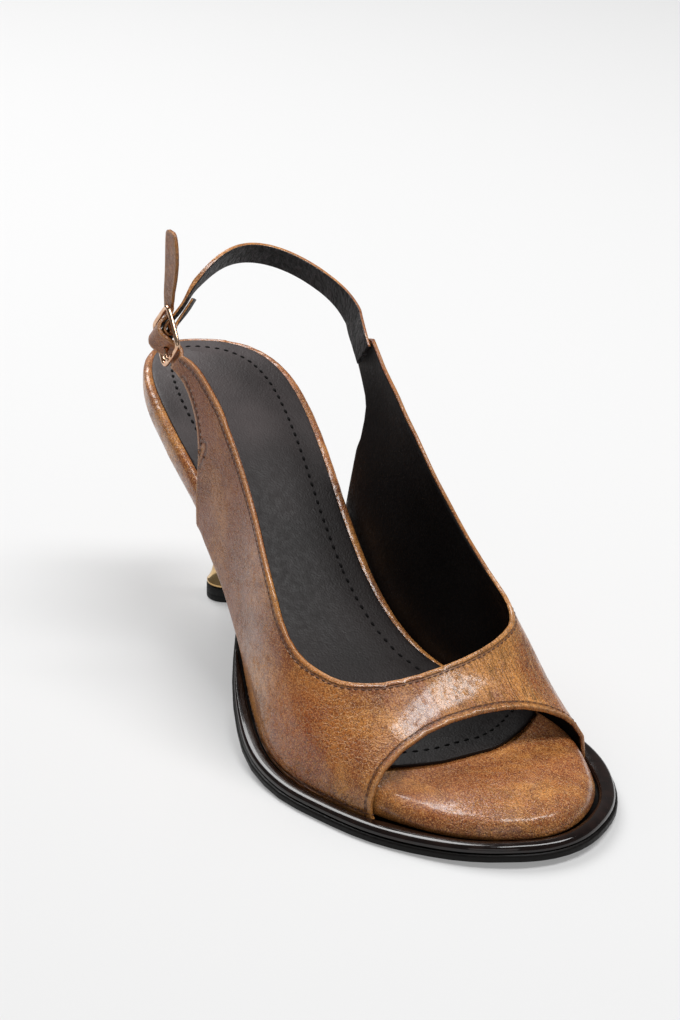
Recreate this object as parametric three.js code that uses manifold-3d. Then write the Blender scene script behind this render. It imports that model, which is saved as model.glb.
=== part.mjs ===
// Slingback stiletto sandal, right shoe, in millimetres.
// X runs from heel to toe, Y towards the wearer's left (the inner side of the foot), Z up.
// The origin is the middle of the heel tip's underside, on the floor.
import * as THREE from "three";
import Module from "manifold-3d";

const wasm = await Module();
wasm.setup();

// Driving dimensions
const footbedLength = 235; // back of the seat to the front of the toe pad, along the floor
const seatSetback = 32.5; // heel axis to the back of the seat
const ballWidth = 82; // footbed across the ball of the foot
const seatHeight = 86; // top of the footbed at the back of the heel
const toeSpring = 1.6; // lift of the tread at the tip of the toe
const seatThickness = 14; // covered footbed under the heel
const ballThickness = 9; // covered footbed under the ball
const seatEdgeRadius = 6.5; // rounded edge of the covered footbed at the back
const ballEdgeRadius = 2.5; // the same edge in the forefoot
const soleThickness = 2.7; // black outsole
const weltReveal = 5.6; // outsole standing out past the toe pad
const weltHeight = 2.3; // glossy bead on the outsole's rim
const weltSetback = 0.7; // bead's edge in from the outsole's edge
const insoleThickness = 1.2;
const insoleMargin = 3.5; // leather rim left bare round the sock
const insolePad = 0.6; // rise of the padded middle of the sock
const sockRecess = 1.5; // leather rim standing up round the sock, from the heel to the ball
const rimRound = 2.4; // rounded upper edge of that rim
const upperWall = 1.5; // leather with its lining
const lastClearance = 0.75; // upper's inside to the footbed's edge
const billetWall = 1.2; // outer quarter's end, where it runs through the buckle
const quarterRise = 110; // height of the upper's sections in the quarters, if they were closed
const strapWidth = 10;
const strapThickness = 1.6;
const foldThickness = 1.2; // strap's end, where it folds round the buckle's bar
const loopWidth = 8.4; // heel strap's leather, edge to edge
const loopRise = 41; // heel strap's highest point above the back of the seat
const loopSpan = 61; // heel strap, side to side
const loopReach = 44; // heel strap, back of the loop to the inner seam
const postTopDiameter = 9.8;
const postFootDiameter = 7.6;
const postLean = 2.2; // top of the post, back from the heel axis
const cupDrop = 25; // painted cup, from the seat down to where the post is straight
const breastReach = 5; // front of the cup, ahead of the heel axis
const ferruleHeight = 8.5;
const ferruleTopDiameter = 8.6;
const ferruleFootDiameter = 13.6;
const tipDiameter = 14;
const tipHeight = 5.4;
const buckleLength = 17.1; // along the strap, outside
const buckleWidth = 16.2; // across the strap, outside
const buckleAhead = 14.2; // buckle's middle, ahead of the heel axis
const buckleOut = 27.8; // buckle's middle, to the outer side
const buckleRise = 19.7; // buckle's middle, above the back of the seat
const buckleLean = 43.6; // degrees that the buckle tips back
const buckleTip = 6.6; // degrees that its top tips in towards the foot
const buckleCorner = 2.2;
const buckleWire = 1.8;
const prongWire = 1.3;
const prongHoleClearance = 0.35;
const buckleClearance = 0.35; // strap to wire
const seatGap = 0.3; // clearance where pieces meet

const leather = { color: 0x9a5f34, roughness: 0.32, metalness: 0.0 };
const materials = {
  outsole: { color: 0x16110f, roughness: 0.5, metalness: 0.0 },
  welt: { color: 0x2c1d18, roughness: 0.15, metalness: 0.0 },
  footbed: leather,
  insole: { color: 0x2b2728, roughness: 0.6, metalness: 0.0 },
  heel: { color: 0x7a4b33, roughness: 0.28, metalness: 0.0 },
  ferrule: { color: 0xd9b98a, roughness: 0.12, metalness: 1.0 },
  heel_tip: { color: 0x0d0d0d, roughness: 0.75, metalness: 0.0 },
  upper: leather,
  sling_strap: leather,
  buckle_frame: { color: 0xd8b08c, roughness: 0.15, metalness: 1.0 },
  buckle_prong: { color: 0xd8b08c, roughness: 0.15, metalness: 1.0 },
};

const sandal = new THREE.Group();

function addPiece(name, geometry) {
  const mesh = new THREE.Mesh(geometry, new THREE.MeshStandardMaterial(materials[name]));
  mesh.name = name;
  sandal.add(mesh);
}

// Interpolation in short tables

function smoothCurve(xs, ys) {
  // Monotone cubic through the rows, so that a table never overshoots between them.
  const steps = xs.slice(1).map((x, i) => x - xs[i]);
  const slopes = steps.map((step, i) => (ys[i + 1] - ys[i]) / step);
  const tangents = xs.map((x, i) => {
    if (i === 0) return slopes[0];
    if (i === xs.length - 1) return slopes[i - 1];
    if (slopes[i - 1] * slopes[i] <= 0) return 0;
    const before = 2 * steps[i] + steps[i - 1];
    const after = steps[i] + 2 * steps[i - 1];
    return (before + after) / (before / slopes[i - 1] + after / slopes[i]);
  });
  return (x) => {
    const t = Math.min(Math.max(x, xs[0]), xs[xs.length - 1]);
    let i = 0;
    while (i < xs.length - 2 && t > xs[i + 1]) i += 1;
    const s = (t - xs[i]) / steps[i];
    const rise = steps[i];
    return (
      ys[i] * (1 + 2 * s) * (1 - s) ** 2 +
      tangents[i] * rise * s * (1 - s) ** 2 +
      ys[i + 1] * s * s * (3 - 2 * s) +
      tangents[i + 1] * rise * s * s * (s - 1)
    );
  };
}

function splineThrough(xs, ys) {
  // Catmull-Rom through the rows, for outlines that bulge between them.
  const slope = (i) => {
    const a = Math.max(i - 1, 0);
    const b = Math.min(i + 1, xs.length - 1);
    return (ys[b] - ys[a]) / (xs[b] - xs[a]);
  };
  return (x) => {
    const t = Math.min(Math.max(x, xs[0]), xs[xs.length - 1]);
    let i = 0;
    while (i < xs.length - 2 && t > xs[i + 1]) i += 1;
    const step = xs[i + 1] - xs[i];
    const s = (t - xs[i]) / step;
    return (
      ys[i] * (1 + 2 * s) * (1 - s) ** 2 +
      slope(i) * step * s * (1 - s) ** 2 +
      ys[i + 1] * s * s * (3 - 2 * s) +
      slope(i + 1) * step * s * s * (s - 1)
    );
  };
}

function tableCurve(rows, column, make, key = (row) => row.along) {
  return make(rows.map(key), rows.map((row) => row[column]));
}

// The last: outline, height and thickness of the footbed along its length.
// along is a share of the footbed's length, lateral and medial are shares of the ball width,
// rise is a share of the seat's height above the ball, spring a share of the toe spring.
const footbedRows = [
  { along: 0.0, lateral: -0.03, medial: -0.03, rise: 1.0, spring: 0 },
  { along: 0.019, lateral: -0.159, medial: 0.11, rise: 1.0, spring: 0 },
  { along: 0.053, lateral: -0.244, medial: 0.213, rise: 0.997, spring: 0 },
  { along: 0.104, lateral: -0.317, medial: 0.284, rise: 0.97, spring: 0 },
  { along: 0.16, lateral: -0.357, medial: 0.305, rise: 0.916, spring: 0 },
  { along: 0.223, lateral: -0.376, medial: 0.293, rise: 0.824, spring: 0 },
  { along: 0.3, lateral: -0.378, medial: 0.256, rise: 0.68, spring: 0 },
  { along: 0.385, lateral: -0.39, medial: 0.21, rise: 0.48, spring: 0 },
  { along: 0.479, lateral: -0.439, medial: 0.183, rise: 0.264, spring: 0 },
  { along: 0.564, lateral: -0.518, medial: 0.213, rise: 0.108, spring: 0 },
  { along: 0.64, lateral: -0.573, medial: 0.305, rise: 0.026, spring: 0 },
  { along: 0.713, lateral: -0.573, medial: 0.39, rise: 0.0, spring: 0 },
  { along: 0.777, lateral: -0.53, medial: 0.418, rise: 0.0, spring: 0 },
  { along: 0.84, lateral: -0.47, medial: 0.406, rise: 0.0, spring: 0 },
  { along: 0.896, lateral: -0.39, medial: 0.36, rise: 0.0, spring: 0.06 },
  { along: 0.947, lateral: -0.287, medial: 0.274, rise: 0.0, spring: 0.38 },
  { along: 0.983, lateral: -0.159, medial: 0.152, rise: 0.0, spring: 0.75 },
  { along: 1.0, lateral: 0.0, medial: 0.0, rise: 0.0, spring: 1.0 },
];
// body is a share between the ball's thickness and the seat's, edge the same for the edge radius.
const thicknessRows = [
  { along: 0.0, body: 1.0, edge: 1.0 },
  { along: 0.22, body: 0.9, edge: 1.0 },
  { along: 0.33, body: 0.72, edge: 0.88 },
  { along: 0.48, body: 0.42, edge: 0.6 },
  { along: 0.58, body: 0.2, edge: 0.0 },
  { along: 0.69, body: 0.0, edge: 0.0 },
  { along: 1.0, body: 0.0, edge: 0.0 },
];

const ballHeight = soleThickness + seatGap + ballThickness;
const turnOf = (share) => Math.acos(Math.min(Math.max(1 - 2 * share, -1), 1));
const byTurn = (row) => turnOf(row.along);
const lateralShare = tableCurve(footbedRows, "lateral", splineThrough, byTurn);
const medialShare = tableCurve(footbedRows, "medial", splineThrough, byTurn);
const riseShare = tableCurve(footbedRows, "rise", splineThrough, byTurn);
const springShare = tableCurve(footbedRows, "spring", smoothCurve, byTurn);
const bodyShare = tableCurve(thicknessRows, "body", smoothCurve);
const edgeShare = tableCurve(thicknessRows, "edge", smoothCurve);

const shareAt = (x) => (x + seatSetback) / footbedLength;
const xAt = (share) => share * footbedLength - seatSetback;
const lateralEdge = (x) => lateralShare(turnOf(shareAt(x))) * ballWidth;
const medialEdge = (x) => medialShare(turnOf(shareAt(x))) * ballWidth;
const thicknessAt = (x) => ballThickness + (seatThickness - ballThickness) * bodyShare(shareAt(x));
const edgeRadiusAt = (x) => ballEdgeRadius + (seatEdgeRadius - ballEdgeRadius) * edgeShare(shareAt(x));

function footbedTop(x) {
  // The ball lies dead flat, so the tread under it stands on the floor.
  const turn = turnOf(shareAt(x));
  const rise = (seatHeight - ballHeight) * Math.max(0, riseShare(turn));
  return ballHeight + rise + toeSpring * springShare(turn);
}

const footbedUnder = (x) => footbedTop(x) - thicknessAt(x);

// A closed outline is a loop of stations: the lateral side from heel to toe, then the medial side back.
function outlineLoop(startShare, endShare, count, offset = () => 0) {
  const stations = Array.from({ length: count + 1 }, (_, i) => {
    const spread = (1 - Math.cos((Math.PI * i) / count)) / 2;
    return xAt(startShare + (endShare - startShare) * spread);
  });
  const side = (edge, sign) => stations.map((x) => offsetPoint(x, edge, sign, offset(x)));
  return [...side(lateralEdge, -1), ...side(medialEdge, 1).reverse()];
}

function offsetPoint(x, edge, sign, distance) {
  // Moves a point of the outline square to it; at the rounded ends the normal turns along X.
  const turn = turnOf(shareAt(x));
  const step = 0.004;
  const before = xAt((1 - Math.cos(turn - step)) / 2);
  const after = xAt((1 - Math.cos(turn + step)) / 2);
  const atHeel = turn - step < 0;
  const atToe = turn + step > Math.PI;
  const normal = new THREE.Vector2(edge(before) - edge(after), after - before).multiplyScalar(sign);
  if (atHeel) normal.set(-1, 0);
  if (atToe) normal.set(1, 0);
  normal.normalize();
  return new THREE.Vector2(x + normal.x * distance, edge(x) + normal.y * distance);
}

// Solids from loops of points

function weld(points, faces) {
  const index = new Map();
  const positions = [];
  const lookup = points.map((p) => {
    const key = p.toArray().map((value) => Math.round(value * 1e4)).join();
    if (!index.has(key)) {
      index.set(key, positions.length / 3);
      positions.push(p.x, p.y, p.z);
    }
    return index.get(key);
  });
  const triangles = faces
    .map((face) => face.map((i) => lookup[i]))
    .filter(([a, b, c]) => a !== b && b !== c && c !== a);
  return orient(positions, triangles.flat());
}

function orient(positions, triangles) {
  const corner = (i) => new THREE.Vector3().fromArray(positions, 3 * triangles[i]);
  let volume = 0;
  for (let i = 0; i < triangles.length; i += 3) {
    volume += corner(i).dot(corner(i + 1).cross(corner(i + 2)));
  }
  const faces = [...triangles];
  if (volume < 0) {
    for (let i = 0; i < faces.length; i += 3) [faces[i], faces[i + 1]] = [faces[i + 1], faces[i]];
  }
  const geometry = new THREE.BufferGeometry();
  geometry.setAttribute("position", new THREE.Float32BufferAttribute(positions, 3));
  geometry.setIndex(faces);
  return geometry;
}

function loft(rings, { start = "zip", end = "zip" } = {}) {
  const count = rings[0].length;
  const points = rings.flat();
  const faces = [];
  for (let r = 0; r < rings.length - 1; r += 1) {
    for (let i = 0; i < count; i += 1) {
      const j = (i + 1) % count;
      const a = r * count + i;
      const b = r * count + j;
      faces.push([a, b, b + count], [a, b + count, a + count]);
    }
  }
  const cap = (base, style, flip) => {
    const push = (a, b, c) => faces.push(flip ? [a, c, b] : [a, b, c]);
    if (style === "fan") {
      const middle = new THREE.Vector3();
      for (let i = 0; i < count; i += 1) middle.add(points[base + i]);
      points.push(middle.divideScalar(count));
      for (let i = 0; i < count; i += 1) push(points.length - 1, base + ((i + 1) % count), base + i);
      return;
    }
    const half = count / 2;
    for (let i = 0; i < half - 1; i += 1) {
      const a = base + i;
      const b = base + count - 1 - i;
      push(a, b, b - 1);
      push(a, b - 1, a + 1);
    }
  };
  cap(0, start, false);
  cap((rings.length - 1) * count, end, true);
  return weld(points, faces);
}

function sweep(sections) {
  // Sections are small closed polygons along a path that doesn't close.
  return loft(sections, { start: "fan", end: "fan" });
}

function sweepRing(sections) {
  // The same along a closed path.
  const count = sections[0].length;
  const faces = [];
  sections.forEach((section, r) => {
    const next = ((r + 1) % sections.length) * count;
    for (let i = 0; i < count; i += 1) {
      const j = (i + 1) % count;
      faces.push([r * count + i, r * count + j, next + j], [r * count + i, next + j, next + i]);
    }
  });
  return weld(sections.flat(), faces);
}

function shell(grid, wall) {
  // A grid of rungs becomes a wall: the grid is its outer face, wall(i) its thickness at a rung.
  const rows = grid.length;
  const columns = grid[0].length;
  const tangent = (a, b) => new THREE.Vector3().subVectors(b, a);
  const inner = grid.map((rung, i) =>
    rung.map((point, j) => {
      const along = tangent(grid[Math.max(i - 1, 0)][j], grid[Math.min(i + 1, rows - 1)][j]);
      const across = tangent(rung[Math.max(j - 1, 0)], rung[Math.min(j + 1, columns - 1)]);
      const normal = along.cross(across).normalize();
      return point.clone().addScaledVector(normal, wall(i));
    }),
  );
  const points = [...grid.flat(), ...inner.flat()];
  const faces = [];
  const at = (i, j) => i * columns + j;
  const back = rows * columns;
  const quad = (a, b, c, d) => faces.push([a, b, c], [a, c, d]);
  for (let i = 0; i < rows - 1; i += 1) {
    for (let j = 0; j < columns - 1; j += 1) {
      quad(at(i, j), at(i, j + 1), at(i + 1, j + 1), at(i + 1, j));
      quad(back + at(i, j), back + at(i + 1, j), back + at(i + 1, j + 1), back + at(i, j + 1));
    }
    quad(at(i, 0), at(i + 1, 0), back + at(i + 1, 0), back + at(i, 0));
    const j = columns - 1;
    quad(at(i, j), back + at(i, j), back + at(i + 1, j), at(i + 1, j));
  }
  for (let j = 0; j < columns - 1; j += 1) {
    quad(at(0, j), back + at(0, j), back + at(0, j + 1), at(0, j + 1));
    const i = rows - 1;
    quad(at(i, j), at(i, j + 1), back + at(i, j + 1), back + at(i, j));
  }
  return weld(points, faces);
}

function toManifold(geometry) {
  const vertProperties = geometry.getAttribute("position").array;
  const triVerts = Uint32Array.from(geometry.getIndex().array);
  return new wasm.Manifold(new wasm.Mesh({ numProp: 3, vertProperties, triVerts }));
}

function fromManifold(solid) {
  const mesh = solid.getMesh();
  return orient(Array.from(mesh.vertProperties), Array.from(mesh.triVerts));
}

// Footbed: a board covered in the upper's leather, with a rounded edge
const plateStations = 34;

function recessAt(x) {
  // The recess runs out under the ball, where the sock comes up onto the toe pad.
  return sockRecess * (1 - THREE.MathUtils.smoothstep(shareAt(x), 0.58, 0.74));
}

function footbedEdge(x) {
  // Inset from the outline and height above the underside, from the bottom edge to the top edge.
  const thickness = thicknessAt(x);
  const lower = edgeRadiusAt(x);
  const padRound = ballThickness * 0.5;
  const upper = padRound + (rimRound - padRound) * edgeShare(shareAt(x));
  const arc = (radius, degrees) => radius * (1 - Math.cos(THREE.MathUtils.degToRad(degrees)));
  const lift = (radius, degrees) => radius * Math.sin(THREE.MathUtils.degToRad(degrees));
  const rows = [80, 52, 25, 0].map((d) => [arc(lower, d), lower - lift(lower, d)]);
  const shoulder = thickness - upper;
  const rim = [25, 52, 80].map((d) => [arc(upper * 0.8, d), shoulder + lift(upper, d)]);
  return [...rows, ...rim, [insoleMargin - 0.7, thickness], [insoleMargin - 0.4, thickness - recessAt(x)]];
}

function footbedRings() {
  const levels = footbedEdge(0).length;
  const rings = [];
  for (let level = 0; level < levels; level += 1) {
    const loop = outlineLoop(0, 1, plateStations, (x) => -footbedEdge(x)[level][0]);
    rings.push(
      loop.map((p) => new THREE.Vector3(p.x, p.y, footbedUnder(p.x) + footbedEdge(p.x)[level][1])),
    );
  }
  return rings;
}

addPiece("footbed", loft(footbedRings()));

// Insole: a thin black sock with a lightly padded middle, cut off in a shallow curve at the toe
const insoleEnd = 0.838; // share of the footbed's length
const insoleFrontCurve = 0.06; // depth of the curve at its front, as a share of the same length

function insoleLoop(inset, frontInset = inset) {
  const frontX = xAt(insoleEnd) - frontInset;
  const squareX = frontX - insoleFrontCurve * footbedLength;
  const endShare = shareAt(frontX);
  const loop = outlineLoop(0, endShare, plateStations, () => -inset);
  return loop.map((p) => {
    if (p.x < squareX) return p;
    // The front edge is a parabola across the footbed.
    const width = p.y < 0 ? lateralEdge(squareX) : medialEdge(squareX);
    const reach = Math.sqrt(Math.max(0, (frontX - p.x) / (frontX - squareX)));
    return new THREE.Vector2(p.x, (width - Math.sign(width) * inset) * Math.min(reach, 1));
  });
}

function insoleRing(inset, lift) {
  return insoleLoop(inset).map((p) => {
    return new THREE.Vector3(p.x, p.y, footbedTop(p.x) - recessAt(p.x) + lift);
  });
}

const padInset = insoleMargin + 7.5;
addPiece(
  "insole",
  loft([
    insoleRing(insoleMargin, seatGap),
    insoleRing(insoleMargin, seatGap + insoleThickness * 0.75),
    insoleRing(insoleMargin + 0.5, seatGap + insoleThickness),
    insoleRing(padInset, seatGap + insoleThickness),
    insoleRing(padInset + 4, seatGap + insoleThickness + insolePad),
  ]),
);

// Outsole: thin black sheet from the heel's breast to the toe, wider than the upper in the forefoot.
// reveal is how far its edge stands out past the footbed, as a share of the reveal beside the upper.
const soleRows = [
  { along: 0.16, reveal: -1.1 },
  { along: 0.34, reveal: -0.85 },
  { along: 0.42, reveal: -0.3 },
  { along: 0.47, reveal: 0.4 },
  { along: 0.54, reveal: 0.86 },
  { along: 0.62, reveal: 1.0 },
  { along: 0.83, reveal: 1.0 },
  { along: 0.93, reveal: 0.84 },
  { along: 1.0, reveal: 0.76 },
];
const sideReveal = weltReveal + upperWall + lastClearance;
const revealShare = tableCurve(soleRows, "reveal", smoothCurve);
const soleReveal = (x) => sideReveal * revealShare(shareAt(x));
const soleTop = (x) => footbedUnder(x) - seatGap;
const soleStart = shareAt(breastReach + seatGap);
const soleStations = 40;

function soleRing(inset, drop) {
  const loop = outlineLoop(soleStart, 1, soleStations, (x) => soleReveal(x) - inset);
  return loop.map((p) => new THREE.Vector3(p.x, p.y, soleTop(p.x) - drop));
}

const soleEdgeRound = 0.5;
addPiece(
  "outsole",
  loft([
    soleRing(soleEdgeRound * 1.6, soleThickness),
    soleRing(0, soleThickness - soleEdgeRound),
    soleRing(0, soleEdgeRound),
    soleRing(soleEdgeRound, 0),
  ]),
);

// Welt: a glossy rounded bead on the outsole's rim, from the outer waist round the toe to the inner
const weltStart = 0.475; // share of the footbed's length where the bead fades out on each side
const weltSections = 34; // stations on each side

function weltSection(point, x) {
  const inner = upperWall + lastClearance + seatGap;
  const outer = soleReveal(x) - weltSetback;
  const place = (reach, height) => {
    const at = point(inner + (outer - inner) * reach);
    const base = soleTop(at.x) + seatGap;
    return new THREE.Vector3(at.x, at.y, base + weltHeight * height * weltFade(x));
  };
  const shape = [
    [0.0, 0.0], [1.0, 0.0], [1.0, 0.35], [0.92, 0.72], [0.72, 0.95], [0.45, 1.0], [0.15, 0.86], [0.0, 0.6],
  ];
  return shape.map(([reach, height]) => place(reach, height));
}

function weltFade(x) {
  const run = (shareAt(x) - weltStart) / 0.09;
  return 0.35 + 0.65 * Math.min(1, Math.max(0, run));
}

function weltSectionsRoundToe() {
  const from = turnOf(weltStart);
  const sections = [];
  for (let i = 0; i <= weltSections; i += 1) {
    const x = xAt((1 - Math.cos(from + ((Math.PI - from) * i) / weltSections)) / 2);
    sections.push(weltSection((d) => offsetPoint(x, lateralEdge, -1, d), x));
  }
  for (let i = weltSections - 1; i >= 0; i -= 1) {
    const x = xAt((1 - Math.cos(from + ((Math.PI - from) * i) / weltSections)) / 2);
    sections.push(weltSection((d) => offsetPoint(x, medialEdge, 1, d), x));
  }
  return sections;
}

addPiece("welt", sweep(weltSectionsRoundToe()));

// Heel: a painted cup under the seat, drawn down into a thin post
const heelSides = 40;
const ferruleTop = tipHeight + seatGap + ferruleHeight;
const postFoot = ferruleTop + seatGap;
const cupTop = footbedUnder(0) - seatGap;
const postTop = cupTop - cupDrop * 0.62;
const cupInset = edgeRadiusAt(-seatSetback) * 0.62;

function seatRadius(angle) {
  // Distance from the post's top to the cup's rim, cut square at the breast.
  const centre = new THREE.Vector2(-postLean, 0);
  const direction = new THREE.Vector2(Math.cos(angle), Math.sin(angle));
  const loop = outlineLoop(0, shareAt(60), 60, () => -cupInset);
  let radius = direction.x > 0.01 ? (breastReach + postLean) / direction.x : Infinity;
  loop.forEach((p, i) => {
    const q = loop[(i + 1) % loop.length];
    const edge = q.clone().sub(p);
    const cross = direction.x * edge.y - direction.y * edge.x;
    const offset = p.clone().sub(centre);
    const distance = (offset.x * edge.y - offset.y * edge.x) / cross;
    const share = (offset.x * direction.y - offset.y * direction.x) / cross;
    if (distance > 0 && share >= 0 && share <= 1) radius = Math.min(radius, distance);
  });
  return radius;
}

// height is the share of the way from the post's top to the cup's rim, spread how far the rim has opened.
const cupRows = [
  { height: 0.0, spread: 0.0 },
  { height: 0.14, spread: 0.03 },
  { height: 0.3, spread: 0.1 },
  { height: 0.46, spread: 0.23 },
  { height: 0.62, spread: 0.42 },
  { height: 0.78, spread: 0.65 },
  { height: 0.9, spread: 0.86 },
  { height: 1.0, spread: 1.0 },
];

function heelRings() {
  const angles = Array.from({ length: heelSides }, (_, i) => (2 * Math.PI * (i + 0.5)) / heelSides);
  const rims = angles.map(seatRadius);
  const post = [0, 0.3, 0.65].map((share) => {
    const z = postFoot + (postTop - postFoot) * share;
    const radius = (postFootDiameter + (postTopDiameter - postFootDiameter) * share) / 2;
    const x = -postLean * share;
    return angles.map((a) => new THREE.Vector3(x + radius * Math.cos(a), radius * Math.sin(a), z));
  });
  const cup = cupRows.map(({ height, spread }) =>
    angles.map((a, i) => {
      const radius = (postTopDiameter / 2) * (1 - spread) + rims[i] * spread;
      const rim = -postLean + rims[i] * Math.cos(a);
      const x = -postLean + radius * Math.cos(a);
      const top = footbedUnder(rim) - seatGap;
      return new THREE.Vector3(x, radius * Math.sin(a), postTop + (top - postTop) * height);
    }),
  );
  const inner = angles.map((a, i) => {
    const x = -postLean + rims[i] * 0.4 * Math.cos(a);
    return new THREE.Vector3(x, rims[i] * 0.4 * Math.sin(a), footbedUnder(x) - seatGap);
  });
  return [...post, ...cup, inner];
}

addPiece("heel", loft(heelRings(), { start: "fan", end: "fan" }));

// Ferrule and heel tip: turned pieces on the heel's axis
function turned(profile, segments) {
  const points = profile.map(([radius, z]) => new THREE.Vector2(radius, z));
  const geometry = new THREE.LatheGeometry(points, segments).rotateX(Math.PI / 2);
  const position = geometry.getAttribute("position");
  const corners = Array.from({ length: position.count }, (_, i) => {
    return new THREE.Vector3().fromBufferAttribute(position, i);
  });
  const index = geometry.getIndex().array;
  const faces = [];
  for (let i = 0; i < index.length; i += 3) faces.push([index[i], index[i + 1], index[i + 2]]);
  return weld(corners, faces);
}

const turnedSegments = 36;
const ferruleFoot = tipHeight + seatGap;
const flare = ferruleFootDiameter - ferruleTopDiameter;
const ferruleRadius = (spread) => (ferruleTopDiameter + flare * spread) / 2;
const ferruleLip = 0.9; // height of the straight band at its foot
addPiece(
  "ferrule",
  turned(
    [
      [0, ferruleFoot],
      [ferruleRadius(1), ferruleFoot],
      [ferruleRadius(1), ferruleFoot + ferruleLip],
      [ferruleRadius(0.93), ferruleFoot + ferruleLip + 0.3],
      [ferruleRadius(0.72), ferruleFoot + ferruleHeight * 0.3],
      [ferruleRadius(0.42), ferruleFoot + ferruleHeight * 0.5],
      [ferruleRadius(0.18), ferruleFoot + ferruleHeight * 0.7],
      [ferruleRadius(0.04), ferruleFoot + ferruleHeight * 0.88],
      [ferruleRadius(0), ferruleTop],
      [0, ferruleTop],
    ],
    turnedSegments,
  ),
);

const tipRadius = tipDiameter / 2;
const tipBevel = 0.45;
addPiece(
  "heel_tip",
  turned(
    [
      [0, 0],
      [tipRadius - tipBevel, 0],
      [tipRadius, tipBevel],
      [tipRadius - 0.15, tipHeight - tipBevel],
      [tipRadius - tipBevel - 0.15, tipHeight],
      [0, tipHeight],
    ],
    turnedSegments,
  ),
);

// Upper: one leather wall on the last's own surface.
// A section stands at each share of the length: height is a share of the quarters' section height,
// leanOut and leanIn shift the wall inwards on the outer side and outwards on the inner side,
// as shares of the ball width, and power squares the section off.
const upperRows = [
  { along: 0.265, height: 1.0, leanOut: 0.049, leanIn: 0.293, power: 2.3 },
  { along: 0.35, height: 1.0, leanOut: 0.049, leanIn: 0.293, power: 2.3 },
  { along: 0.415, height: 0.982, leanOut: 0.049, leanIn: 0.293, power: 2.2 },
  { along: 0.5, height: 0.945, leanOut: 0.049, leanIn: 0.28, power: 2.1 },
  { along: 0.568, height: 0.873, leanOut: 0.049, leanIn: 0.256, power: 2.1 },
  { along: 0.619, height: 0.727, leanOut: 0.055, leanIn: 0.244, power: 2.1 },
  { along: 0.666, height: 0.573, leanOut: 0.061, leanIn: 0.22, power: 2.1 },
  { along: 0.704, height: 0.455, leanOut: 0.061, leanIn: 0.171, power: 2.2 },
  { along: 0.734, height: 0.373, leanOut: 0.055, leanIn: 0.134, power: 2.25 },
  { along: 0.755, height: 0.318, leanOut: 0.049, leanIn: 0.104, power: 2.3 },
  { along: 0.785, height: 0.259, leanOut: 0.037, leanIn: 0.067, power: 2.4 },
  { along: 0.819, height: 0.214, leanOut: 0.024, leanIn: 0.037, power: 2.5 },
  { along: 0.87, height: 0.182, leanOut: 0.012, leanIn: 0.012, power: 2.5 },
];
const sectionHeight = tableCurve(upperRows, "height", smoothCurve);
const sectionLeanOut = tableCurve(upperRows, "leanOut", smoothCurve);
const sectionLeanIn = tableCurve(upperRows, "leanIn", smoothCurve);
const sectionPower = tableCurve(upperRows, "power", smoothCurve);

const standOff = upperWall + lastClearance;
const edgeLift = 0.5; // lower edge of the upper, above the footbed's underside
const wrapUnder = 60; // degrees past the sole edge that stand for the whole turn under it

function upperPoint(share, degrees) {
  // 0 degrees is the sole edge on the outer side, 90 the top, 180 the sole edge on the inner side.
  // Past either edge the wall turns in round the footbed's edge, down to the footbed's underside.
  const x = xAt(share);
  const left = lateralEdge(x) - standOff;
  const right = medialEdge(x) + standOff;
  const middle = (left + right) / 2;
  const halfWidth = (right - left) / 2;
  const power = sectionPower(share);
  const radius = edgeRadiusAt(x);
  const turn = THREE.MathUtils.degToRad(Math.min(Math.max(degrees, 0), 180));
  const cosine = Math.cos(turn);
  const sine = Math.sin(turn);
  const ease = (turn / Math.PI) ** 2 * (3 - (2 * turn) / Math.PI);
  const lean = (sectionLeanOut(share) * (1 - ease) + sectionLeanIn(share) * ease) * ballWidth;
  const swing = Math.sign(cosine) * Math.abs(cosine) ** (2 / power);
  const height = quarterRise * sectionHeight(share) - radius;
  let y = middle - halfWidth * swing + lean * sine;
  let z = footbedUnder(x) + radius + height * sine ** (2 / power);
  const wrapShare = Math.max(-degrees, degrees - 180, 0) / wrapUnder;
  const wrap = wrapShare * Math.asin((radius - edgeLift) / (radius + standOff));
  y += (degrees < 90 ? 1 : -1) * (radius + standOff) * (1 - Math.cos(wrap));
  z -= (radius + standOff) * Math.sin(wrap);
  return new THREE.Vector3(x, y, z);
}

function rimTurn(share) {
  // Degrees at which the wall passes the footbed's top.
  const x = xAt(share);
  const radius = edgeRadiusAt(x);
  const height = quarterRise * sectionHeight(share) - radius;
  const rise = (thicknessAt(x) + 1 - radius) / height;
  return THREE.MathUtils.radToDeg(Math.asin(rise ** (sectionPower(share) / 2)));
}

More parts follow.
